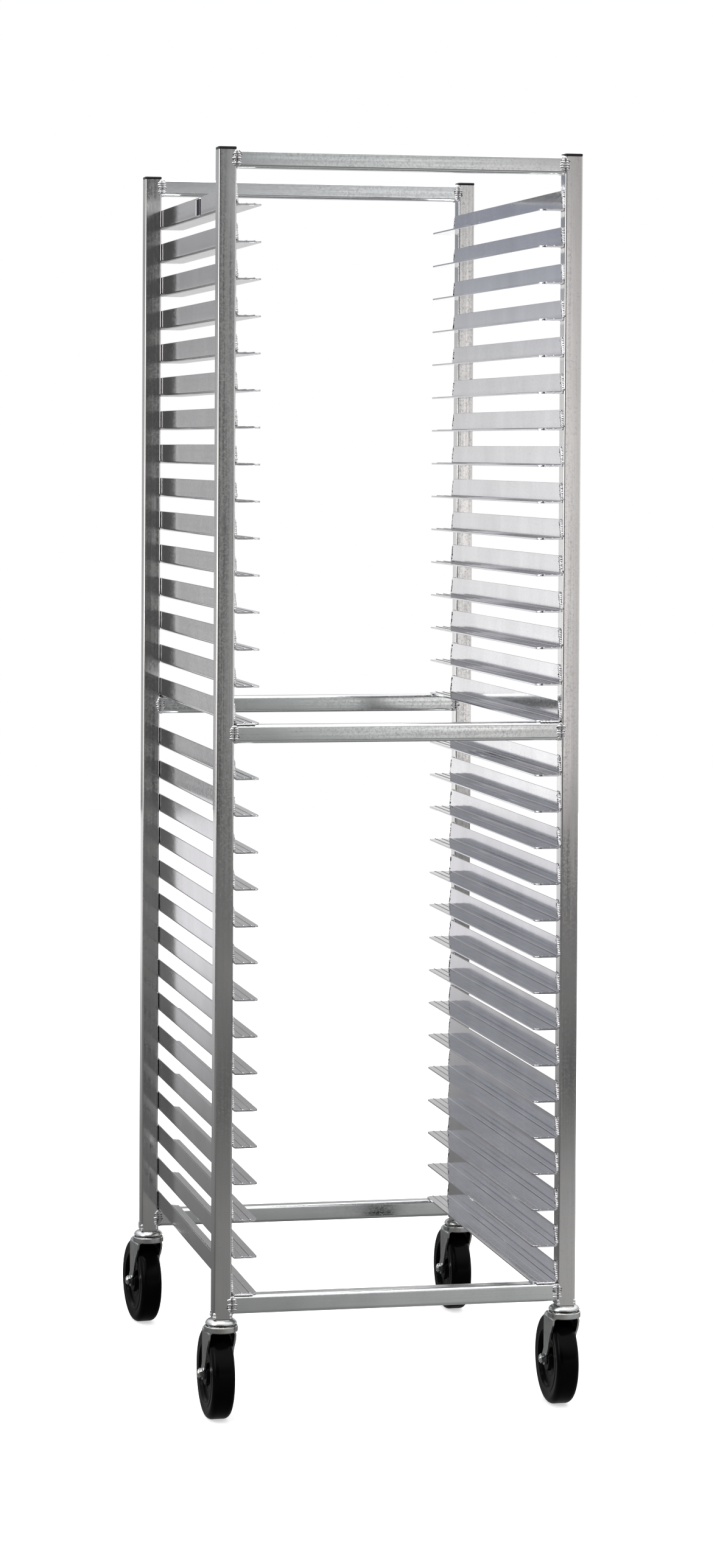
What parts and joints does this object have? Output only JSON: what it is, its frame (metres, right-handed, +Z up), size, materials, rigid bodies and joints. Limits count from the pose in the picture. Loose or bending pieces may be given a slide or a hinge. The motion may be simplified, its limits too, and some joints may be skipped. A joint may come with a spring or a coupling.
{
  "type": "sheet pan rack",
  "caption": "Mobile end-load sheet pan rack: welded aluminium tube frame with angle runners on both sides, on swivel casters.",
  "frame": {"origin": "on the floor, under the middle of the whole rack's box; the posts' middle is one caster trail (35 mm) in front of it", "axes": "+Z up, +X to the rack's right seen from the front, +Y from the front to the rear, along the runners"},
  "size_m": [0.5437, 0.7619, 1.7581],
  "materials": {
    "frame_aluminium": "satin extruded tube with bright weld beads",
    "runner_aluminium": "mill finish extrusion, fine lines along its length",
    "cap_plastic": "moulded black plastic",
    "socket_aluminium": "plain block",
    "plate_enamel": "dark enamel with a bare metal border, blank",
    "zinc_plate": "bright zinc plate",
    "bearing_steel": "greased steel",
    "wheel_plastic": "glossy black moulded wheel"
  },
  "bodies": {
    "frame": {"post_front_left": "frame_aluminium", "post_front_right": "frame_aluminium", "post_rear_left": "frame_aluminium", "post_rear_right": "frame_aluminium", "rail_bottom_front": "frame_aluminium", "rail_bottom_rear": "frame_aluminium", "rail_middle_front": "frame_aluminium", "rail_middle_rear": "frame_aluminium", "rail_top_front": "frame_aluminium", "rail_top_rear": "frame_aluminium", "runners_left_01_to_05": "runner_aluminium", "runners_left_06_to_10": "runner_aluminium", "runners_left_11_to_15": "runner_aluminium", "runners_left_16_to_20": "runner_aluminium", "runners_left_21_to_25": "runner_aluminium", "runners_left_26_to_30": "runner_aluminium", "runners_right_01_to_05": "runner_aluminium", "runners_right_06_to_10": "runner_aluminium", "runners_right_11_to_15": "runner_aluminium", "runners_right_16_to_20": "runner_aluminium", "runners_right_21_to_25": "runner_aluminium", "runners_right_26_to_30": "runner_aluminium", "post_cap_front_left": "cap_plastic", "post_cap_front_right": "cap_plastic", "post_cap_rear_left": "cap_plastic", "post_cap_rear_right": "cap_plastic", "stem_socket_front_left": "socket_aluminium", "stem_socket_front_right": "socket_aluminium", "stem_socket_rear_left": "socket_aluminium", "stem_socket_rear_right": "socket_aluminium", "name_plate": "plate_enamel", "caster_front_left_stem": "zinc_plate", "caster_front_left_ball_ring": "bearing_steel", "caster_front_right_stem": "zinc_plate", "caster_front_right_ball_ring": "bearing_steel", "caster_rear_left_stem": "zinc_plate", "caster_rear_left_ball_ring": "bearing_steel", "caster_rear_right_stem": "zinc_plate", "caster_rear_right_ball_ring": "bearing_steel"},
    "swivel_front_left": {"caster_front_left_fork": "zinc_plate", "caster_front_left_bushing": "bearing_steel", "caster_front_left_axle_bolt": "zinc_plate", "caster_front_left_axle_nut": "zinc_plate"},
    "roller_front_left": {"caster_front_left_wheel": "wheel_plastic"},
    "swivel_front_right": {"caster_front_right_fork": "zinc_plate", "caster_front_right_bushing": "bearing_steel", "caster_front_right_axle_bolt": "zinc_plate", "caster_front_right_axle_nut": "zinc_plate"},
    "roller_front_right": {"caster_front_right_wheel": "wheel_plastic"},
    "swivel_rear_left": {"caster_rear_left_fork": "zinc_plate", "caster_rear_left_bushing": "bearing_steel", "caster_rear_left_axle_bolt": "zinc_plate", "caster_rear_left_axle_nut": "zinc_plate"},
    "roller_rear_left": {"caster_rear_left_wheel": "wheel_plastic"},
    "swivel_rear_right": {"caster_rear_right_fork": "zinc_plate", "caster_rear_right_bushing": "bearing_steel", "caster_rear_right_axle_bolt": "zinc_plate", "caster_rear_right_axle_nut": "zinc_plate"},
    "roller_rear_right": {"caster_rear_right_wheel": "wheel_plastic"}
  },
  "joints": [
    {"name": "front_left_swivel", "type": "hinge", "parent": "frame", "child": "swivel_front_left", "pos_m": [-0.2445, -0.3525, 0.147], "axis": [0, 0, 1], "continuous": true},
    {"name": "front_left_roll", "type": "hinge", "parent": "swivel_front_left", "child": "roller_front_left", "pos_m": [-0.24542, -0.31751, 0.0635], "axis": [0.9997, 0.0262, 0], "continuous": true},
    {"name": "front_right_swivel", "type": "hinge", "parent": "frame", "child": "swivel_front_right", "pos_m": [0.2445, -0.3525, 0.147], "axis": [0, 0, 1], "continuous": true},
    {"name": "front_right_roll", "type": "hinge", "parent": "swivel_front_right", "child": "roller_front_right", "pos_m": [0.24389, -0.3175, 0.0635], "axis": [0.9998, 0.0175, 0], "continuous": true},
    {"name": "rear_left_swivel", "type": "hinge", "parent": "frame", "child": "swivel_rear_left", "pos_m": [-0.2445, 0.2825, 0.147], "axis": [0, 0, 1], "continuous": true},
    {"name": "rear_left_roll", "type": "hinge", "parent": "swivel_rear_left", "child": "roller_rear_left", "pos_m": [-0.24816, 0.31731, 0.0635], "axis": [0.9945, 0.1045, 0], "continuous": true},
    {"name": "rear_right_swivel", "type": "hinge", "parent": "frame", "child": "swivel_rear_right", "pos_m": [0.2445, 0.2825, 0.147], "axis": [0, 0, 1], "continuous": true},
    {"name": "rear_right_roll", "type": "hinge", "parent": "swivel_rear_right", "child": "roller_rear_right", "pos_m": [0.24389, 0.3175, 0.0635], "axis": [0.9998, 0.0175, 0], "continuous": true}
  ]
}
